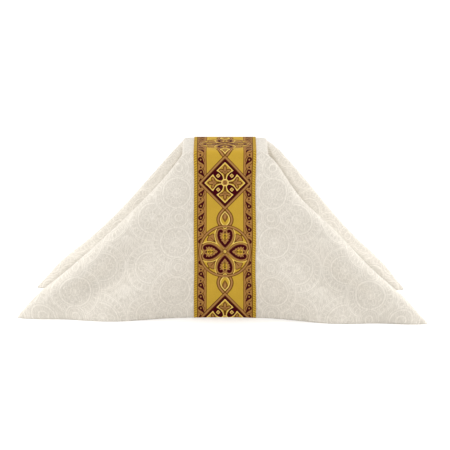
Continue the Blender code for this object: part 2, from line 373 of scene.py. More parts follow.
def panel_run(picked, lengths, across_axis, reach):
    """Points across one panel, and each one's distance from the panel's middle on the flat cloth.

    reach is how far this level lies from the middle of the flat cloth.
    """
    step = np.linspace(0, 1, FLAP_STEPS + 1)[1:]
    share = 1 - (0.5 + 0.5 * np.cos(math.pi * step)) ** FOLD_CROWDING
    middle = middle_place(picked, lengths, across_axis)
    inner = HALF_BAND if reach > HALF_BAND * BAND_CLEAR else reach * INNER_SHARE
    before = middle - inner - (middle - inner) * share
    after = middle + inner + (lengths[-1] - middle - inner) * share
    over_band = np.linspace(-inner, inner, MIDDLE_STEPS + 1)
    places = np.concatenate([before[::-1], middle + over_band, after])
    flaps = inner + (reach - inner) * share
    flat = np.concatenate([-flaps[::-1], over_band, flaps])
    points = np.stack([np.interp(places, lengths, picked[:, k]) for k in (0, 1)], axis=1)
    return points[:-1], flat[:-1]


def level_ring(dense, places, reach):
    """One ring of the drape, with each point's place on the flat cloth."""
    ends = [places[3], *places]
    points = []
    flats = []
    for k in range(4):
        run, s = panel_run(*run_of(dense, ends[k], ends[k + 1]), k % 2, reach)
        points.append(run)
        full = np.full(len(s), reach)
        flats.append(np.stack([(s, -full), (full, s), (-s, full), (-full, -s)][k], axis=1))
    return np.concatenate(points), np.concatenate(flats)


def drape_levels():
    """The drape's levels from the top's middle down to the hem.

    Each is its outline, the places of its corners, its height, and its reach on the flat cloth.
    """
    flat_half = HALF_TOP - EDGE_RADIUS
    for share in np.linspace(0, 1, TOP_RINGS + 1)[1:]:
        half = share * flat_half
        yield (*rounded_square(half), TOP_HEIGHT, half)
    for step in range(1, EDGE_STEPS + 1):
        turn = step / EDGE_STEPS * math.pi / 2
        half = HALF_TOP - EDGE_RADIUS * (1 - math.sin(turn))
        yield (*rounded_square(half), WALL_TOP + EDGE_RADIUS * math.cos(turn), flat_half + EDGE_RADIUS * turn)
    wall_start = flat_half + EDGE_RADIUS * math.pi / 2
    wall_length = HALF_VEIL - wall_start
    foot_share = HEM_FOOT / (WALL_HEIGHT + HEM_FOOT)
    for level in range(1, LEVELS + 1):
        drop = (level / LEVELS) ** LEVEL_CROWDING
        reach = wall_start + wall_length * drop * (1 - foot_share)
        yield (*outline(drop), HEM_FOOT + WALL_HEIGHT * (1 - drop), reach)
    yield (*outline(1.0), 0.0, HALF_VEIL)


def soften_edge(points):
    """Smooths the rings round the top's edge, where the panels' folds begin."""
    first = TOP_RINGS - 1
    last = TOP_RINGS + EDGE_STEPS + EDGE_SOFTENED
    for _ in range(EDGE_PASSES):
        above = points[first - 1:last - 1]
        below = points[first + 1:last + 1]
        points[first:last] = (above + 2 * points[first:last] + below) / 4


def drape():
    """The outer face of the draped cloth: rings of points, and their places on the flat cloth."""
    points = []
    flats = []
    for dense, places, height, reach in drape_levels():
        ring, flat = level_ring(dense, places, reach)
        points.append(np.column_stack([ring, np.full(len(ring), height)]))
        flats.append(flat)
    points = np.array(points)
    soften_edge(points)
    hem = points[-1]
    points[:, :, :2] -= (hem.min(axis=0) + hem.max(axis=0))[:2] / 2
    return points, np.array(flats)


def ring_normals(points):
    """Outward normals of a closed loft of rings."""
    down = np.gradient(points, axis=0)
    around = np.roll(points, -1, axis=1) - np.roll(points, 1, axis=1)
    normals = np.cross(down, around)
    normals /= np.maximum(np.linalg.norm(normals, axis=2, keepdims=True), TINY)
    return normals


def with_turned_hem(points, flats):
    """The outer face, raised a little where the hem is turned in."""
    from_hem = HALF_VEIL - np.abs(flats).max(axis=2)
    rise = HEM_RISE * smooth_step((HEM_WIDTH - from_hem) / HEM_STEP)
    raised = points + ring_normals(points) * rise[:, :, None]
    raised[-1, :, 2] = 0.0
    return raised


def new_object(name, mesh, *materials):
    """A smoothly shaded object with its materials, put into the scene."""
    for material in materials:
        mesh.materials.append(material)
    mesh.shade_smooth()
    made = bpy.data.objects.new(name, mesh)
    bpy.context.scene.collection.objects.link(made)
    return made


def store(mesh, name, kind, values):
    """Keeps a number or a vector at each point of a mesh, for a material to read."""
    layer = mesh.attributes.new(name, kind, "POINT")
    key = "vector" if kind == "FLOAT_VECTOR" else "value"
    layer.data.foreach_set(key, np.ascontiguousarray(values, np.float32).ravel())


def store_flat(mesh, flats):
    """Keeps each point's place on the flat cloth, in millimetres."""
    store(mesh, "flat", "FLOAT_VECTOR", np.column_stack([flats / MM, np.zeros(len(flats))]))


def lay_out(mesh, places):
    """The map that colours are baked to: one place for each point of the mesh."""
    layer = mesh.uv_layers.new(name="OFBake")
    corners = np.empty(len(mesh.loops), np.int32)
    mesh.loops.foreach_get("vertex_index", corners)
    layer.data.foreach_set("uv", places[corners].astype(np.float32).ravel())


def top_middle(rings):
    """Where the middle of the top lies, as x and y."""
    return float(rings[0, :, 0].mean()), float(rings[0, :, 1].mean())


def face_points(rings, height):
    """The points of one side of the cloth: the middle of its top, at this height, and then its rings."""
    return np.vstack([[[*top_middle(rings), height]], rings.reshape(-1, 3)])


def cloth_faces(rows, around):
    """The faces of the outer side, of the inner side and of the edge between them."""
    ring = np.arange(around)
    after = (ring + 1) % around
    caps = np.column_stack([np.zeros(around, int), 1 + ring, 1 + after])
    walls = []
    for row in range(rows - 1):
        upper = 1 + row * around
        lower = upper + around
        walls.append(np.column_stack([upper + ring, lower + ring, lower + after, upper + after]))
    walls = np.vstack(walls)
    half = rows * around + 1
    last = 1 + (rows - 1) * around
    edge = np.column_stack([last + ring, half + last + ring, half + last + after, last + after])
    outside = [*caps.tolist(), *walls.tolist()]
    inside = [*(caps[:, ::-1] + half).tolist(), *(walls[:, ::-1] + half).tolist()]
    return outside, inside, edge.tolist()


def veil_piece(outer, flats, face, inner_side):
    """The square of brocade: its outer face, its inner side and the edge between them."""
    inner = outer - ring_normals(outer) * CLOTH_THICKNESS
    inner[-1, :, 2] = 0.0
    vertices = np.vstack([face_points(outer, TOP_HEIGHT), face_points(inner, TOP_HEIGHT - CLOTH_THICKNESS)])
    outside, inside, edge = cloth_faces(*outer.shape[:2])
    mesh = bpy.data.meshes.new("veil")
    mesh.from_pydata(vertices.tolist(), [], outside + inside + edge)
    made = new_object("veil", mesh, face, inner_side)
    finishes = np.zeros(len(mesh.polygons), np.int32)
    finishes[len(outside):len(outside) + len(inside)] = 1
    mesh.polygons.foreach_set("material_index", finishes)
    flat = np.vstack([[[0.0, 0.0]], flats.reshape(-1, 2)])
    store_flat(mesh, np.vstack([flat, flat]))
    square = flat / VEIL_SIDE + 0.5
    lay_out(mesh, np.vstack([np.array(corner) + size * square for corner, size in (OUTER_MAP, INNER_MAP)]))
    return made


def band_rows(outer, flats):
    """The cloth's outer face under the orphrey, from the front hem over the top to the back hem.

    Gives the rows' places along the cloth, the columns' places across it, and the points.
    """
    past_top = slice(TOP_RINGS - 1, None)
    per_panel = outer.shape[1] // 4
    columns = np.arange(FLAP_STEPS, FLAP_STEPS + MIDDLE_STEPS + 1)
    across = np.linspace(-HALF_BAND, HALF_BAND, MIDDLE_STEPS + 1)
    front = outer[past_top, columns]
    back = outer[past_top, columns + 2 * per_panel][:, ::-1]
    reach = np.abs(flats[past_top]).max(axis=(1, 2))
    over = np.linspace(-1, 1, TOP_ROWS + 2)[1:-1] * reach[0]
    middle_x, middle_y = top_middle(outer)
    top = np.empty((TOP_ROWS, MIDDLE_STEPS + 1, 3))
    top[:, :, 0] = middle_x + across[None, :]
    top[:, :, 1] = middle_y + over[:, None]
    top[:, :, 2] = TOP_HEIGHT
    along = np.concatenate([-reach[::-1], over, reach])
    return along, across, np.concatenate([front[::-1], top, back])


def band_section():
    """The orphrey in cross-section: the distances of its points from its middle, and their heights."""
    side = np.array([HALF_BAND - share * BAND_EDGE for share, height in BAND_SIDE])
    foot = np.array([height for share, height in BAND_SIDE])
    face = np.linspace(-HALF_BAND + BAND_EDGE, HALF_BAND - BAND_EDGE, BAND_COLUMNS + 1)
    height = np.full(len(face), BAND_GAP + BAND_THICKNESS)
    return np.concatenate([-side, face, side[::-1]]), np.concatenate([foot, height, foot[::-1]])


def band_grid(outer, flats, u, v, height):
    """The orphrey's points at u across and v along, each at its height above the cloth's outer face."""
    along, across, known = band_rows(outer, flats)
    grid = eased(along, known, v)
    grid = eased(across, grid.transpose(1, 0, 2), u).transpose(1, 0, 2)
    turned = len(BAND_SIDE)
    normals = np.cross(np.gradient(grid, axis=1), np.gradient(grid, axis=0))[:, turned:-turned]
    normals = np.pad(normals, ((0, 0), (turned, turned), (0, 0)), mode="edge")
    normals /= np.linalg.norm(normals, axis=2, keepdims=True)
    grid = grid + normals * height[None, :, None]
    grid[[0, -1], :, 2] = 0.0
    return grid


def orphrey_piece(outer, flats, finish):
    """The woven band, laid on the cloth, with its edges turned down to it."""
    u, height = band_section()
    v = np.linspace(-HALF_VEIL, HALF_VEIL, BAND_ROWS + 1)
    grid = band_grid(outer, flats, u, v, height)
    rows, columns = grid.shape[:2]
    corner = (np.arange(rows - 1)[:, None] * columns + np.arange(columns - 1)[None, :]).ravel()
    faces = np.column_stack([corner, corner + 1, corner + columns + 1, corner + columns])
    mesh = bpy.data.meshes.new("orphrey")
    mesh.from_pydata(grid.reshape(-1, 3).tolist(), [], faces.tolist())
    places = np.stack(np.broadcast_arrays(u[None, :], v[:, None]), axis=2).reshape(-1, 2)
    store_flat(mesh, places)
    for ink, distance in orphrey_inks(places / MM).items():
        store(mesh, ink, "FLOAT", distance)
    made = new_object("orphrey", mesh, finish)
    lay_out(mesh, places[:, ::-1] / VEIL_SIDE * BAND_MAP_SIZE + 0.5)
    return made


# Drawing. A stroke or an area is kept as a distance that is negative inside it

CURVE_STEPS = 6
FAR_AWAY = 1000.0
# Half-widths of thin drawn lines
FINE = 0.35
THIN = 0.45
BOLD = 0.5


def curve(points):
    """Smooth curve through listed points."""
    points = np.array(points, float)
    spans = len(points) - 1
    places = np.arange(spans + 1, dtype=float)
    return eased(places, points, np.linspace(0, spans, spans * CURVE_STEPS + 1))


def stroke(x, y, path, start, end=None):
    """A drawn line whose half-width goes from start to end."""
    end = start if end is None else end
    best = np.full(x.shape, FAR_AWAY)
    count = len(path) - 1
    for k in range(count):
        ax, ay = path[k]
        dx, dy = path[k + 1][0] - ax, path[k + 1][1] - ay
        t = np.clip(((x - ax) * dx + (y - ay) * dy) / (dx * dx + dy * dy), 0, 1)
        half_width = start + (end - start) * (k + t) / count
        best = np.minimum(best, np.hypot(x - ax - t * dx, y - ay - t * dy) - half_width)
    return best


def strokes(x, y, paths, half_width):
    """Several drawn lines of one width."""
    return union(*(stroke(x, y, curve(path), half_width) for path in paths))


def area(x, y, path):
    """The inside of a closed outline."""
    path = np.array(path, float)
    inside = np.zeros(x.shape, bool)
    for (ax, ay), (bx, by) in zip(path, np.roll(path, -1, axis=0)):
        if ay != by:
            inside ^= ((ay > y) != (by > y)) & (x < (bx - ax) * (y - ay) / (by - ay) + ax)
    distance = stroke(x, y, np.vstack([path, path[:1]]), 0.0)
    return np.where(inside, -distance, distance)


def mirrored(path):
    """A path from the middle line outwards and back, closed by its mirror image."""
    path = np.array(path, float)
    image = path[::-1] * [-1, 1]
    return np.vstack([path, image[image[:, 0] != 0]])


def discs(x, y, *places):
    """Round spots, each with its middle and its radius."""
    return union(*(np.hypot(x - middle_x, y - middle_y) - radius for middle_x, middle_y, radius in places))


def line_at(distance, at, half_width):
    """The line where a distance has a given value."""
    return abs(distance - at) - half_width


def union(*shapes):
    """What lies in any of the shapes."""
    return np.minimum.reduce(shapes)


def overlap(*shapes):
    """What lies in all of the shapes."""
    return np.maximum.reduce(shapes)


def without(shape, *cuts):
    """A shape with others cut out of it."""
    return overlap(shape, *(-cut for cut in cuts))


# The figures woven into the orphrey, in millimetres. x is the distance from the band's middle line. Where a
# figure has four equal arms, low and high are the smaller and the larger of x and y

# A diamond and a circle repeat along the band, and one diamond lies at DIAMOND_PLACE from the veil's middle
REPEAT = 187.0
DIAMOND_PLACE = -97.8
DIAMOND_X = 31.3
DIAMOND_Y = 32.2
RING = 34.2
# The strap that frames both, its dark edges, and how far its middle runs outside the diamond
STRAP = 3.5
STRAP_EDGE = 0.62
STRAP_OUT = STRAP / 2 + 0.2
RING_STRAP = STRAP - 0.2
# How far the other figures keep from the straps
DIAMOND_MARGIN = 0.4
CIRCLE_MARGIN = 0.3

# Half of one arm of the diamond's cross, from its point to its foot, and half of the lily in it
ARM = [(0, 27.2), (5.2, 21.8), (10.8, 16.3)]
ARM_SIDE = [(10.8, 16.3), (7.8, 14.6), (5.0, 12.2), (3.1, 9.6), (2.2, 7.0), (1.9, 4.0)]
LILY = [
    (0, 23.4), (1.5, 21.2), (2.3, 18.8), (1.9, 16.6), (3.2, 17.2), (5.0, 18.0), (7.2, 17.8),
    (6.8, 15.8), (5.0, 14.2), (2.6, 13.2), (1.2, 11.4), (0.7, 8.0), (0.5, 4.8),
]
HOOK = [(0.9, 15.2), (2.6, 14.6), (4.6, 15.2)]
STALK = [(0, 8), (0, 17)]
# A line beside a figure has its distance outside the figure's edge and half of its width
ARM_LINE = (0.0, 0.55)
ARM_INNER_LINE = (-2.0, 0.4)
LILY_LINE = (0.2, 0.6)
LILY_INNER_LINE = (-1.0, 0.4)
LOZENGE_LINE = (0.4, 0.4)
STALK_LINE = (0.4, 0.2)
# The cross's round middle, the rings on it, and the small lozenges between the arms
BOSS = 3.6
BOSS_RING = (4.3, 0.6)
BOSS_EYE = (1.4, 0.45)
LOZENGE_X = 9.2
LOZENGE_Y = 9.4
LOZENGE_SIZE = 1.3
# How far the dark ground keeps from the arm, from the cross's middle and from a lozenge
ARM_MARGIN = 0.5
BOSS_CLEAR = 5.2
LOZENGE_MARGIN = 0.8

# Half of the strap's loop between a diamond and a circle, and half of the leaf in it. The leaf's heart
# begins this far inside its edge
LOOP = [(0, 34.4), (3.6, 38.6), (7.2, 43.2), (9.1, 48.6), (8.8, 53.6), (6.4, 58.0), (3.4, 61.0)]
LOOP_LEAF = [(0, 38.8), (1.9, 41.6), (3.5, 44.8), (3.3, 47.8), (1.9, 50.8), (0, 53.4)]
LOOP_LINE = (-3.3, 0.55)
LOOP_LEAF_LINE = (0.0, 0.45)
LOOP_LEAF_INNER_LINE = (-1.4, 0.35)
LOOP_LEAF_HEART = 2.4

# Half of one palmette of the circle, from its point near the middle to its curled end, and its half-widths
PALMETTE = [
    (0, 7.2), (3.4, 10.9), (6.5, 15.0), (8.3, 19.8), (8.4, 24.4), (7.2, 27.6), (5.2, 28.4), (4.0, 27.2),
]
PALMETTE_WIDTH = (1.7, 1.4)
PALMETTE_LINE = (0.2, 0.5)
PETAL = [
    (0, 2.6), (2.4, 4.9), (5.9, 8.8), (9.3, 13.4), (11.2, 19.2),
    (11.0, 25.2), (9.2, 29.2), (6.0, 30.7), (2.8, 29.8), (0, 28.2),
]
PETAL_EDGE = (-0.1, 1.0)
PETAL_LINE = (1.1, 0.35)
PETAL_OUTER_LINE = (2.5, 0.42)
# How far inside a petal its ground begins, and how far the leaves on the diagonals keep from it
PETAL_INSET = 1.0
PETAL_MARGIN = 3.3
PALMETTE_LEAF = [
    (0, 11.4), (1.8, 13.6), (3.8, 16.6), (4.9, 20.2), (4.6, 23.6), (2.8, 25.2), (1.4, 26.6), (0, 28.6),
]
PALMETTE_LEAF_LINE = (-0.9, 0.35)
PALMETTE_LEAF_HEART = 1.4
# Round spots: middle and radius
CURL = (4.6, 27.0, 1.9)
TEETH = ((3.0, 13.0, 0.8), (5.1, 16.4, 0.8), (6.3, 20.0, 0.8), (6.2, 23.6, 0.8))
PEARLS = ((3.1, 14.8, 1.1), (4.6, 18.2, 1.1), (5.2, 21.8, 1.1), (4.4, 24.8, 1.1))
SPOTS = ((0, 17.2, 1.1), (0, 22.0, 1.2), (0, 25.4, 1.2))
VEINS = ([(0, 12.0), (0, 27.0)], [(0, 14.0), (2.2, 16.6), (4.6, 18.0)], [(0, 18.6), (2.4, 21.2), (4.8, 22.0)])
# Half of one leaf on the circle's diagonals: distance to the side, and distance from the circle's middle
TREFOIL = [
    (0, 15.8), (1.6, 17.8), (4.8, 19.4), (7.8, 21.8), (7.8, 24.2),
    (5.2, 25.2), (6.2, 27.2), (4.4, 29.2), (2.0, 29.6), (0, 31.4),
]
TREFOIL_LINE = (0.1, 0.55)
TREFOIL_VEINS = ([(0, 16.0), (0, 27.6)], [(0, 18.6), (2.4, 20.4), (4.6, 21.6)])
CIRCLE_RING = (3.0, 0.4)
CIRCLE_EYE = (1.8, 0.3)

# The border between the straps and the band's plain edge, with its wavy stem and its row of seeds
BORDER_IN = 24.8
BORDER_OUT = 37.4
BORDER_LINE = (-0.4, 0.4)
BORDER_OVER = 0.1
VINE_MIDDLE = 31.0
VINE_SWING = 3.0
VINE_LEAD = 0.7
VINE_LINE = 0.4
SEEDS = 5
SEED_PITCH = 16.0
SEED_SHIFT = 3.2
# One seed and what belongs to it: distance from the band's middle, and distance beyond the seed
SEED_TAIL = [(33.0, 2.6), (31.2, 0.2), (28.4, -3.4)]
SEED_TAIL_WIDTH = (3.3, 0.8)
SEED_SPOT = (33.0, -7.4, 1.3)
SEED_EYE = (32.8, 2.4, 1.2)
SEED_BUD = (29.4, 6.0, 0.8)
SEED_SPRIGS = ([(29.6, 5.4), (27.4, 2.6), (27.8, -0.6)], [(35.8, -2.2), (34.4, -4.2), (31.6, -4.6)])
# A spot beside the diamond's corner, where no seed is near
CORNER_SPOT = (34.2, 3.5, 1.2)

# The silk's colours, laid over one another in this order, and the gold under them
INKS = {
    "tan": (0.352, 0.172, 0.047),
    "rose": (0.370, 0.185, 0.059),
    "brown": (0.115, 0.042, 0.006),
    "yellow": (0.800, 0.570, 0.150),
    "maroon": (0.045, 0.001, 0.004),
}
GOLD = (0.530, 0.330, 0.037)


def diamond_edge(x, y):
    """How far a place lies outside the diamond, about the diamond's middle."""
    steepness = math.hypot(1 / DIAMOND_X, 1 / DIAMOND_Y)
    return (x / DIAMOND_X + y / DIAMOND_Y - 1) / steepness


def diamond_inks(x, y):
    """The diamond with its cross, about its own middle."""
    edge = diamond_edge(x, y)
    strap = edge - STRAP_OUT
    low, high = np.minimum(x, y), np.maximum(x, y)
    arm = area(low, high, mirrored([*ARM, *curve(ARM_SIDE)[1:]]))
    lily = area(low, high, mirrored(curve(LILY)))
    middle = np.hypot(x, y)
    lozenge = (np.abs(x - LOZENGE_X) + np.abs(y - LOZENGE_Y)) / math.sqrt(2) - LOZENGE_SIZE
    return {
        "maroon": without(edge, arm - ARM_MARGIN, middle - BOSS_CLEAR, lozenge - LOZENGE_MARGIN),
        "yellow": union(
            line_at(arm, *ARM_LINE),
            line_at(middle, *BOSS_RING),
            line_at(lozenge, *LOZENGE_LINE),
        ),
        "rose": union(lozenge, line_at(strap, 0, STRAP / 2), line_at(lily, *LILY_INNER_LINE)),
        "brown": union(
            line_at(abs(strap), STRAP / 2, STRAP_EDGE),
            line_at(lily, *LILY_LINE),
            stroke(low, high, curve(HOOK), FINE),
            line_at(middle, *BOSS_EYE),
            stroke(low, high, STALK, *STALK_LINE),
        ),
        "tan": union(lily, middle - BOSS, line_at(arm, *ARM_INNER_LINE)),
    }


def loop_inks(x, y):
    """The strap's loop between a diamond and a circle. y is the distance from the diamond's middle."""
    path = curve(LOOP)
    strap = stroke(x, y, path, 0.0)
    leaf = area(x, y, mirrored(curve(LOOP_LEAF)))
    return {
        "rose": union(strap - STRAP / 2, leaf + LOOP_LEAF_HEART),
        "brown": union(
            line_at(strap, STRAP / 2, STRAP_EDGE),
            line_at(leaf, *LOOP_LEAF_LINE),
            line_at(leaf, *LOOP_LEAF_INNER_LINE),
        ),
        "yellow": line_at(area(x, y, mirrored(path)), *LOOP_LINE),
        "tan": leaf,
    }


def trefoil_leaf(low, high, petal):
    """The leaf on the circle's diagonals and its veins, both cut off beside the petals."""
    aside = (high - low) / math.sqrt(2)
    out = (high + low) / math.sqrt(2)
    leaf = area(aside, out, mirrored(curve(TREFOIL)))
    veins = strokes(aside, out, TREFOIL_VEINS, BOLD)
    return without(leaf, petal - PETAL_MARGIN), without(veins, petal - PETAL_MARGIN)


def circle_inks(x, y):
    """The circle with its four palmettes, about its own middle."""
    low, high = np.minimum(x, y), np.maximum(x, y)
    middle = np.hypot(x, y)
    ring = middle - RING
    within = ring + STRAP / 2 - CIRCLE_MARGIN
    palmette = stroke(low, high, curve(PALMETTE), *PALMETTE_WIDTH)
    leaf = area(low, high, mirrored(curve(PALMETTE_LEAF)))
    petal = area(low, high, mirrored(curve(PETAL)))
    trefoil, trefoil_veins = trefoil_leaf(low, high, petal)
    return {
        "maroon": union(palmette, discs(low, high, CURL, *TEETH, *SPOTS)),
        "rose": union(
            line_at(ring, 0, RING_STRAP / 2),
            overlap(line_at(petal, *PETAL_EDGE), within),
            line_at(leaf, *PALMETTE_LEAF_LINE),
            line_at(palmette, *PALMETTE_LINE),
            discs(low, high, *PEARLS),
        ),
        "brown": union(
            line_at(abs(ring), RING_STRAP / 2, STRAP_EDGE),
            overlap(line_at(abs(petal), *PETAL_LINE), within),
            strokes(low, high, VEINS, FINE),
            line_at(trefoil, *TREFOIL_LINE),
            trefoil_veins,
            line_at(middle, *CIRCLE_RING),
        ),
        "yellow": union(overlap(line_at(petal, *PETAL_OUTER_LINE), within), line_at(middle, *CIRCLE_EYE)),
        "tan": union(overlap(without(petal + PETAL_INSET, leaf + PALMETTE_LEAF_HEART), within), trefoil),
    }


def vine(x, y):
    """The border's wavy stem. y is the distance from the diamond's middle."""
    turn = (y + SEED_SHIFT) / SEED_PITCH * 2 * math.pi + VINE_LEAD
    middle = VINE_MIDDLE + VINE_SWING * np.sin(turn)
    slope = VINE_SWING * 2 * math.pi / SEED_PITCH * np.cos(turn)
    return np.abs(x - middle) / np.hypot(1, slope) - VINE_LINE


def border_inks(x, y):
    """The border with its row of seeds. y is the distance from the diamond's middle."""
    strip = np.abs(x - (BORDER_IN + BORDER_OUT) / 2) - (BORDER_OUT - BORDER_IN) / 2
    maroon = [discs(x, y, CORNER_SPOT)]
    rose = []
    brown = [vine(x, y), line_at(strip, *BORDER_LINE)]
    for k in range(1, SEEDS + 1):
        beyond = y - (k * SEED_PITCH - SEED_SHIFT)
        maroon.append(stroke(x, beyond, curve(SEED_TAIL), *SEED_TAIL_WIDTH))
        maroon.append(discs(x, beyond, SEED_SPOT))
        rose.append(discs(x, beyond, SEED_EYE))
        brown.append(discs(x, beyond, SEED_BUD))
        brown.append(strokes(x, beyond, SEED_SPRIGS, THIN))
    eyes = union(*rose)
    return {
        "maroon": without(union(*maroon), eyes),
        "rose": eyes,
        "brown": overlap(union(*brown), strip - BORDER_OVER),
        "tan": strip,
    }


def orphrey_inks(places):
    """How far each point of the band lies from each ink's figures."""
    x = np.abs(places[:, 0])
    y = np.abs((places[:, 1] - DIAMOND_PLACE + REPEAT / 2) % REPEAT - REPEAT / 2)
    from_circle = REPEAT / 2 - y
    diamond = diamond_inks(x, y)
    loop = loop_inks(x, y)
    circle = circle_inks(x, from_circle)
    border = border_inks(x, y)
    past_diamond = diamond_edge(x, y) - STRAP_OUT - STRAP / 2
    past_circle = np.hypot(x, from_circle) - RING - STRAP / 2
    diamond_cover = past_diamond - DIAMOND_MARGIN
    circle_cover = past_circle - CIRCLE_MARGIN
    inks = {}
    for ink in INKS:
        parts = [overlap(diamond[ink], diamond_cover), overlap(circle[ink], circle_cover)]
        if ink in loop:
            parts.append(without(loop[ink], past_diamond + DIAMOND_MARGIN, past_circle + CIRCLE_MARGIN))
        if ink in border:
            parts.append(without(border[ink], diamond_cover, circle_cover))
        inks[ink] = union(*parts)
    return inks


# The brocade's damask, in millimetres of the flat cloth. Its columns fold back at DAMASK_FOLD from the
# middle, and its rows repeat, with half rows between them
DAMASK_FOLD = 132.0
DAMASK_ROW = 67.0
DAMASK_START = 177.0
# How soft the edges of its lines are
DAMASK_SOFT = 0.6
# Rings: radius and half of the line's width
ROUNDEL_RINGS = ((19.8, 0.75), (22.9, 0.3), (29.4, 0.3), (31.2, 0.75), (33.4, 0.3), (6.2, 0.5))
SIDE_RINGS = ((15.0, 0.7), (18.5, 0.4), (6.5, 0.7))
SMALL_RINGS = ((13.4, 0.6), (10.6, 0.3), (5.0, 0.6))
# A roundel's ladder of small boxes: its ring, its turns, and the height of the wave that draws its bars
LADDER_RING = (26.2, 2.4)
LADDER_TURNS = 15
LADDER_WAVE = 1.8
# Its flower: the petals' waist, how far they rise from it, the eye, and the veins' bend and reach
FLOWER_WAIST = 9.5
FLOWER_RISE = 6.0
FLOWER_EYE = 2.0
VEIN_CURVE = 0.2
VEIN_REACH = 13.0
# The lotus, with its foot this far from a row's middle. Its petals are a fan, at angles in radians
LOTUS_FOOT = 11.0
LOTUS_STEP = 0.42
LOTUS_HALF_PETAL = 0.21
LOTUS_TAPER = 0.2
LOTUS_TAPER_OVER = 31.0
LOTUS_VEIN_REACH = 20.0
LOTUS_REACH = 30.0
LOTUS_SPREAD = 1.05
# The small cross in its ring
CROSS_BAR = (2.6, 0.5)
CROSS_REACH = 10.0
CROSS_RING = (12.0, 0.4)
# How far each figure hides the ones that are laid before it, and the places of the columns
LOTUS_COVER = 31.0
CROSS_COVER = 13.0
ROUNDEL_COVER = 34.0
SIDE_COVER = 19.5
SMALL_COVER = 14.4
SIDE_COLUMN = 20.0
SMALL_COLUMN = 63.5
ROW_COLUMN = 67.0
HALF_ROW_COLUMN = 100.0

# The brocade's tone, as shares of its light colour over its dark one: the woven figure, the threads, wide
# clouds, and streaks along the warp, with a mottle. The figure is worn unevenly, and the shift sets the whole
FIGURE_SHARE = 0.72
THREAD_SHARE = 0.02
CLOUD_SHARE = 0.2
STREAK_SHARE = 1.1
TONE_SHIFT = 0.815
WORN_SHARE = 1.1
WORN_SHIFT = 0.05
# Random variation: its scale, its detail, and how far it is drawn out along the band, where 1 is not at all
CLOUDS = (0.03, 2.0, 1.0)
STREAKS = (0.75, 2.0, 0.25)
MOTTLE = (0.90, 3.0, 1.0)
WORN = (0.45, 2.0, 0.5)
# The wrong side's clouds and threads
INNER_CLOUDS = (0.05, 2.0, 1.0)
INNER_THREAD_SHARE = 0.2
INNER_CLOUD_SHARE = 0.6
BROCADE_DARK = (0.546, 0.503, 0.432)
BROCADE_LIGHT = (0.824, 0.773, 0.692)
INNER_DARK = (0.657, 0.611, 0.528)
INNER_LIGHT = (0.695, 0.648, 0.574)
# The weaves' turns in radians per millimetre, and their relief in millimetres
THREAD_TURN = 7.4
RIB_TURN = 7.0
FIGURE_RELIEF = 0.10
THREAD_RELIEF = 0.06
RIB_RELIEF = 0.05
GRAIN_RELIEF = 0.1
# The gold weave's tone: clouds, grain and ribs, and how dark and how light its gold gets
GOLD_CLOUDS = (0.06, 2.0, 1.0)
GOLD_GRAIN = (1.3, 2.0, 1.0)
GOLD_CLOUD_SHARE = 0.4
GOLD_GRAIN_SHARE = 1.2
GOLD_RIB_SHARE = 0.08
GOLD_SHIFT = 0.35
GOLD_DARKEST = 0.82
GOLD_LIGHTEST = 1.16
# The dark beads on the band's plain edge: turns along and across, where they begin, and how strong they are
BEAD_TURN = 1.95
BEAD_SLANT = 0.9
BEADS_FROM = BORDER_OUT + 0.8
BEADS_SOFT = 0.3
BEAD_SHARE = 0.7
# The dark line between the border and the plain edge
EDGE_LINE = (BORDER_OUT, THIN)
EDGE_LINE_SOFT = 0.15
INK_SOFT = 0.18
SHEEN_ROUGHNESS = 0.4


class Field:
    """A number worked out by shader nodes for each point of a surface, written as ordinary arithmetic."""

    def __init__(self, tree, socket):
        self.tree = tree
        self.socket = socket

    def worked(self, operation, *others):
        """The result of one operation of the shader's arithmetic node."""
        node = self.tree.nodes.new("ShaderNodeMath")
        node.operation = operation
        for place, value in zip(node.inputs, (self, *others)):
            if isinstance(value, Field):
                self.tree.links.new(value.socket, place)
            else:
                place.default_value = value
        return Field(self.tree, node.outputs[0])

    def __add__(self, other):
        return self.worked("ADD", other)

    def __sub__(self, other):
        return self.worked("SUBTRACT", other)

    def __mul__(self, other):
        return self.worked("MULTIPLY", other)

    def __truediv__(self, other):
        return self.worked("DIVIDE", other)

    def __abs__(self):
        return self.worked("ABSOLUTE")

    def least(self, other):
        return self.worked("MINIMUM", other)

    def most(self, other):
        return self.worked("MAXIMUM", other)

    def sine(self):
        return self.worked("SINE")

    def folded(self, length):
        """Goes up to length and back down to 0, over and over."""
        return self.worked("PINGPONG", length)

    def centred(self, period):
        """The distance from the nearest multiple of the period, with its sign."""
        return self.worked("WRAP", -period / 2, period / 2)

    def length_with(self, other):
        """The distance from the middle, where the two numbers are sideways and along."""
        return (self * self + other * other).worked("SQRT")

    def angle_with(self, other):
        """The angle round the middle, which is 0 where this number is 0 and the other one positive."""
        return self.worked("ARCTAN2", other)

    def inside(self, softness):
        """1 where the number is negative and 0 where it is positive, with a soft step between."""
        node = self.tree.nodes.new("ShaderNodeMapRange")
        node.interpolation_type = "SMOOTHSTEP"
        self.tree.links.new(self.socket, node.inputs["Value"])
        for name, value in (("From Min", -softness), ("From Max", softness), ("To Min", 1), ("To Max", 0)):
            node.inputs[name].default_value = value
        return Field(self.tree, node.outputs["Result"])


def attribute(tree, name):
    """The node that reads what is kept at the mesh's points."""
    node = tree.nodes.new("ShaderNodeAttribute")
    node.attribute_name = name
    return node


def flat_place(tree):
    """The place on the flat cloth, in millimetres: across and along."""
    split = tree.nodes.new("ShaderNodeSeparateXYZ")
    tree.links.new(attribute(tree, "flat").outputs["Vector"], split.inputs[0])
    return Field(tree, split.outputs["X"]), Field(tree, split.outputs["Y"])


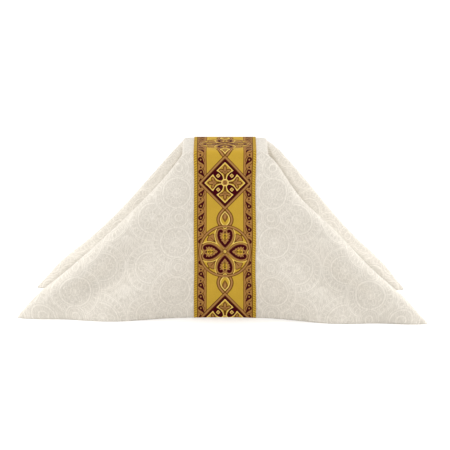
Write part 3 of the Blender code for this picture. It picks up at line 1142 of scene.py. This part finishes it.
def noise(tree, scale, detail, along):
    """Soft random variation over the flat cloth. along under 1 draws it out into streaks along the band."""
    stretched = tree.nodes.new("ShaderNodeVectorMath")
    stretched.operation = "MULTIPLY"
    stretched.inputs[1].default_value = (1.0, along, 1.0)
    tree.links.new(attribute(tree, "flat").outputs["Vector"], stretched.inputs[0])
    node = tree.nodes.new("ShaderNodeTexNoise")
    node.inputs["Scale"].default_value = scale
    node.inputs["Detail"].default_value = detail
    tree.links.new(stretched.outputs["Vector"], node.inputs["Vector"])
    return Field(tree, node.outputs["Fac"])


def mixed(tree, share, under, over):
    """One colour laid over another; each is a colour or a node's socket."""
    node = tree.nodes.new("ShaderNodeMix")
    node.data_type = "RGBA"
    sockets = [s for s in node.inputs if s.type == "RGBA"]
    for socket, value in zip(sockets, (under, over)):
        if isinstance(value, tuple):
            socket.default_value = (*value, 1)
        else:
            tree.links.new(value, socket)
    tree.links.new(share.socket, node.inputs[0])
    return next(s for s in node.outputs if s.type == "RGBA")


def new_material(name, roughness, sheen, specular):
    """A material with its node tree and its shader."""
    made = bpy.data.materials.new(name)
    made.use_nodes = True
    shader = made.node_tree.nodes["Principled BSDF"]
    values = {
        "Roughness": roughness,
        "Sheen Weight": sheen,
        "Sheen Roughness": SHEEN_ROUGHNESS,
        "Specular IOR Level": specular,
    }
    for socket, value in values.items():
        shader.inputs[socket].default_value = value
    return made, made.node_tree, shader


def dress(tree, shader, colour, relief):
    """Gives a surface its colour, and its relief in millimetres."""
    node = tree.nodes.new("ShaderNodeBump")
    node.inputs["Distance"].default_value = MM
    tree.links.new(relief.socket, node.inputs["Height"])
    tree.links.new(node.outputs["Normal"], shader.inputs["Normal"])
    tree.links.new(colour, shader.inputs["Base Color"])


def rings(out, table):
    """Rings about a middle, negative on their lines. out is the distance from the middle."""
    lines = [line_at(out, *entry) for entry in table]
    nearest = lines[0]
    for line in lines[1:]:
        nearest = nearest.least(line)
    return nearest


def roundel(across, along, petals):
    """A round figure of the damask: rings, a ladder of small boxes and a flower. Negative on its lines."""
    out = across.length_with(along)
    turn = across.angle_with(along)
    bars = abs((turn * LADDER_TURNS).sine()) * LADDER_WAVE - BOLD
    ladder = bars.most(line_at(out, *LADDER_RING))
    flower = out - (abs((turn * (petals / 2)).sine()) * FLOWER_RISE + FLOWER_WAIST)
    veins = (abs((turn * petals).sine() * out * VEIN_CURVE) - FINE).most(out - VEIN_REACH)
    lines = rings(out, ROUNDEL_RINGS).least(ladder)
    return lines.least(abs(flower) - BOLD).least(veins).least(out - FLOWER_EYE), out


def lotus(across, along):
    """A flower that opens upwards from its foot. Negative on its lines."""
    out = across.length_with(along)
    turn = across.angle_with(along)
    aside = abs(turn.centred(LOTUS_STEP) * out)
    half_petal = out * (out / LOTUS_TAPER_OVER * -LOTUS_TAPER + LOTUS_HALF_PETAL)
    petals = line_at(aside, half_petal, THIN)
    veins = (aside - FINE).most(out - LOTUS_VEIN_REACH)
    return petals.least(veins).most(out - LOTUS_REACH).most(abs(turn) - LOTUS_SPREAD), out


def small_cross(across, along):
    """A cross of two double bars in a ring. Negative on its lines."""
    out = across.length_with(along)
    bars = line_at(abs(across), *CROSS_BAR).least(line_at(abs(along), *CROSS_BAR))
    return bars.most(out - CROSS_REACH).least(line_at(out, *CROSS_RING)), out


def small_rings(across, along, table):
    """A figure of rings alone. Negative on its lines."""
    out = across.length_with(along)
    return rings(out, table), out


def damask_layers(u, v):
    """The damask's figures, as layers of lines, distance from the middle, and cover."""
    x = u.folded(DAMASK_FOLD)
    row = (v + DAMASK_START).centred(DAMASK_ROW)
    half_row = (v + (DAMASK_START + DAMASK_ROW / 2)).centred(DAMASK_ROW)
    return (
        (*lotus(x - DAMASK_FOLD, row * -1.0 + LOTUS_FOOT), LOTUS_COVER),
        (*small_cross(x - DAMASK_FOLD, half_row), CROSS_COVER),
        (*roundel(x, row, petals=6), ROUNDEL_COVER),
        (*small_rings(x - SIDE_COLUMN, half_row, SIDE_RINGS), SIDE_COVER),
        (*roundel(x - HALF_ROW_COLUMN, half_row, petals=6), ROUNDEL_COVER),
        (*roundel(x - ROW_COLUMN, row, petals=8), ROUNDEL_COVER),
        (*small_rings(x - SMALL_COLUMN, half_row, SMALL_RINGS), SMALL_COVER),
    )


def damask(u, v):
    """The whole woven figure, 1 on its lines. Each layer hides what lies under it."""
    figure = None
    for lines, out, reach in damask_layers(u, v):
        cover = (out - reach).inside(DAMASK_SOFT)
        laid = lines.inside(DAMASK_SOFT) * cover
        figure = laid if figure is None else figure * (cover * -1.0 + 1.0) + laid
    return figure


def thread_grid(u, v):
    """The crossing threads of the brocade."""
    return (u * THREAD_TURN).sine() * (v * THREAD_TURN).sine()


def brocade_face():
    """White silk damask: a lighter woven figure on a slightly darker ground."""
    made, tree, shader = new_material("brocade_face", roughness=0.6, sheen=0.1, specular=0.3)
    u, v = flat_place(tree)
    figure = damask(u, v)
    threads = thread_grid(u, v)
    worn = noise(tree, *WORN) * WORN_SHARE - WORN_SHIFT
    share = figure * worn * FIGURE_SHARE + threads * THREAD_SHARE + noise(tree, *CLOUDS) * CLOUD_SHARE
    share = share + noise(tree, *MOTTLE) + noise(tree, *STREAKS) * STREAK_SHARE - TONE_SHIFT
    colour = mixed(tree, share, BROCADE_DARK, BROCADE_LIGHT)
    dress(tree, shader, colour, figure * FIGURE_RELIEF + threads * THREAD_RELIEF)
    return made


def brocade_inner_side():
    """The wrong side of the brocade: the same silk, without its figure."""
    made, tree, shader = new_material("brocade_inner_side", roughness=0.75, sheen=0.1, specular=0.2)
    threads = thread_grid(*flat_place(tree))
    share = threads * INNER_THREAD_SHARE + noise(tree, *INNER_CLOUDS) * INNER_CLOUD_SHARE
    dress(tree, shader, mixed(tree, share, INNER_DARK, INNER_LIGHT), threads * THREAD_RELIEF)
    return made


def beaded_gold(tree, u, ribs, v, grain):
    """The gold weave, with dark beads along the band's plain edges."""
    share = noise(tree, *GOLD_CLOUDS) * GOLD_CLOUD_SHARE + grain * GOLD_GRAIN_SHARE - GOLD_SHIFT
    share = share + ribs * GOLD_RIB_SHARE
    dark, light = (tuple(tone * part for part in GOLD) for tone in (GOLD_DARKEST, GOLD_LIGHTEST))
    beads = (v * BEAD_TURN + abs(u) * BEAD_SLANT).sine() * BEAD_SHARE
    at_edge = (abs(u) * -1.0 + BEADS_FROM).inside(BEADS_SOFT)
    return mixed(tree, beads.most(0.0) * at_edge, mixed(tree, share, dark, light), INKS["brown"])


def orphrey_weave():
    """Gold weave with silk figures, ribbed across."""
    made, tree, shader = new_material("orphrey_weave", roughness=0.6, sheen=0.0, specular=0.03)
    u, v = flat_place(tree)
    ribs = (v * RIB_TURN).sine()
    grain = noise(tree, *GOLD_GRAIN)
    colour = beaded_gold(tree, u, ribs, v, grain)
    for ink, shade in INKS.items():
        cover = Field(tree, attribute(tree, ink).outputs["Fac"]).inside(INK_SOFT)
        colour = mixed(tree, cover, colour, shade)
    edge_line = line_at(abs(u), *EDGE_LINE)
    colour = mixed(tree, edge_line.inside(EDGE_LINE_SOFT), colour, INKS["brown"])
    dress(tree, shader, colour, ribs * RIB_RELIEF + grain * GRAIN_RELIEF)
    return made


def plain(name, colour, roughness):
    """A material of one colour."""
    made, tree, shader = new_material(name, roughness, sheen=0.0, specular=0.2)
    shader.inputs["Base Color"].default_value = (*colour, 1)
    return made


def add_camera(middle_x, middle_y):
    """The camera, at the photograph's angle, with the top's front edge at EDGE_ROW_PX."""
    forward = np.array([0, math.cos(ELEVATION), -math.sin(ELEVATION)])
    upward = np.array([0, math.sin(ELEVATION), math.cos(ELEVATION)])
    focal_px = TOP_WIDTH_PX * DISTANCE / TOP_SIDE
    target = np.array([middle_x, middle_y - HALF_TOP, TOP_HEIGHT])
    raised = (EDGE_ROW_PX - FRAME_PX / 2) * DISTANCE / focal_px
    lens = bpy.data.cameras.new("camera")
    lens.sensor_width = SENSOR_WIDTH
    lens.lens = focal_px / FRAME_PX * SENSOR_WIDTH
    lens.clip_end = FAR_CLIP
    camera = bpy.data.objects.new("camera", lens)
    camera.location = target - forward * DISTANCE + upward * raised
    camera.rotation_euler = (math.pi / 2 - ELEVATION, 0, 0)
    bpy.context.scene.collection.objects.link(camera)
    bpy.context.scene.camera = camera


def add_floor():
    """A wide, pale floor."""
    mesh = bpy.data.meshes.new("floor")
    corners = [(x * FLOOR_HALF, y * FLOOR_HALF, 0) for x, y in ((-1, -1), (1, -1), (1, 1), (-1, 1))]
    mesh.from_pydata(corners, [], [(0, 1, 2, 3)])
    return new_object("floor", mesh, plain("floor", FLOOR_COLOUR, roughness=0.9))


def add_world():
    """Even white light from all around."""
    world = bpy.data.worlds.new("world")
    world.use_nodes = True
    background = world.node_tree.nodes["Background"]
    background.inputs["Color"].default_value = (1, 1, 1, 1)
    background.inputs["Strength"].default_value = SURROUNDING_LIGHT
    bpy.context.scene.world = world


def add_light(name, kind, power, place, target):
    """A lamp that points at its target and isn't seen itself."""
    light = bpy.data.lights.new(name, kind)
    light.energy = power
    made = bpy.data.objects.new(name, light)
    made.location = place
    made.rotation_euler = (Vector(target) - Vector(place)).to_track_quat("-Z", "Y").to_euler()
    made.visible_camera = False
    bpy.context.scene.collection.objects.link(made)
    return light


points, flats = drape()
outer = with_turned_hem(points, flats)
veil = veil_piece(outer, flats, brocade_face(), brocade_inner_side())
orphrey = orphrey_piece(outer, flats, orphrey_weave())
for piece, node, slot in ((veil, "veil_cloth", "brocade"), (orphrey, "orphrey_band", "gold_weave")):
    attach(piece, "root")
    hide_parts(node)

add_camera(*top_middle(outer))
floor = add_floor()
add_world()
add_light("sky", "SUN", OVERHEAD_LIGHT, OVERHEAD_FROM, (0, 0, 0)).angle = OVERHEAD_SPREAD
for side in (-1, 1):
    place, target = (Vector((side * x, y, z)) for x, y, z in (PANEL_PLACE, PANEL_TARGET))
    add_light("side_panel", "AREA", PANEL_POWER, place, target).size = PANEL_SIZE
bpy.context.scene.view_settings.view_transform = "Standard"
